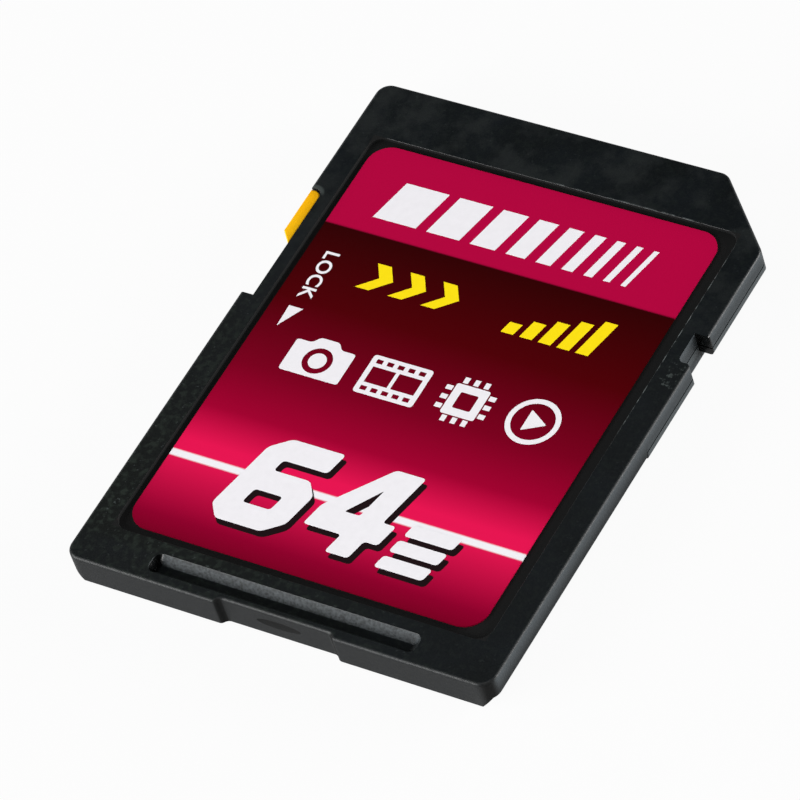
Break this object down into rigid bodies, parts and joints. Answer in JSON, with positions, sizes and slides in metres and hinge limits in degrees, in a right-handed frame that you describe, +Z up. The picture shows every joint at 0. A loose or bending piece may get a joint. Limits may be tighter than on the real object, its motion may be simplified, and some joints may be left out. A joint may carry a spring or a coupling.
{
  "type": "sd memory card",
  "caption": "Thin rectangular flash memory card with a cut corner, recessed label, finger groove, sliding write-protect switch and a row of recessed gold contacts.",
  "frame": {"origin": "middle of the flat back face, which the card rests on", "axes": "+X to the right seen from the label, +Y along the length towards the contact end, +Z up through the label"},
  "size_m": [0.024, 0.032, 0.0021],
  "materials": {
    "shell": "fine moulded texture",
    "slider": "moulded, smooth",
    "label": "printed film",
    "board": "solder mask",
    "contact": "gold plated",
    "package": "moulded epoxy",
    "capacitor": "ceramic",
    "resistor": "glazed"
  },
  "bodies": {
    "card": {"capacitor_1": "capacitor", "capacitor_2": "capacitor", "capacitor_3": "capacitor", "capacitor_4": "capacitor", "capacitor_5": "capacitor", "capacitor_6": "capacitor", "circuit_board": "board", "contact_pad_1": "contact", "contact_pad_2": "contact", "contact_pad_3": "contact", "contact_pad_4": "contact", "contact_pad_5": "contact", "contact_pad_6": "contact", "contact_pad_7": "contact", "contact_pad_8": "contact", "contact_pad_9": "contact", "controller_package": "package", "flash_package": "package", "front_label": "label", "lower_cover": "shell", "resistor_1": "resistor", "resistor_2": "resistor", "resistor_3": "resistor", "resistor_4": "resistor", "resistor_5": "resistor", "resistor_6": "resistor", "upper_cover": "shell"},
    "switch": {"write_protect_slider": "slider"}
  },
  "joints": [
    {"name": "write_protect_slide", "type": "slide", "parent": "card", "child": "switch", "axis": [0, -1, 0], "range_m": [0, 0.0034]}
  ]
}
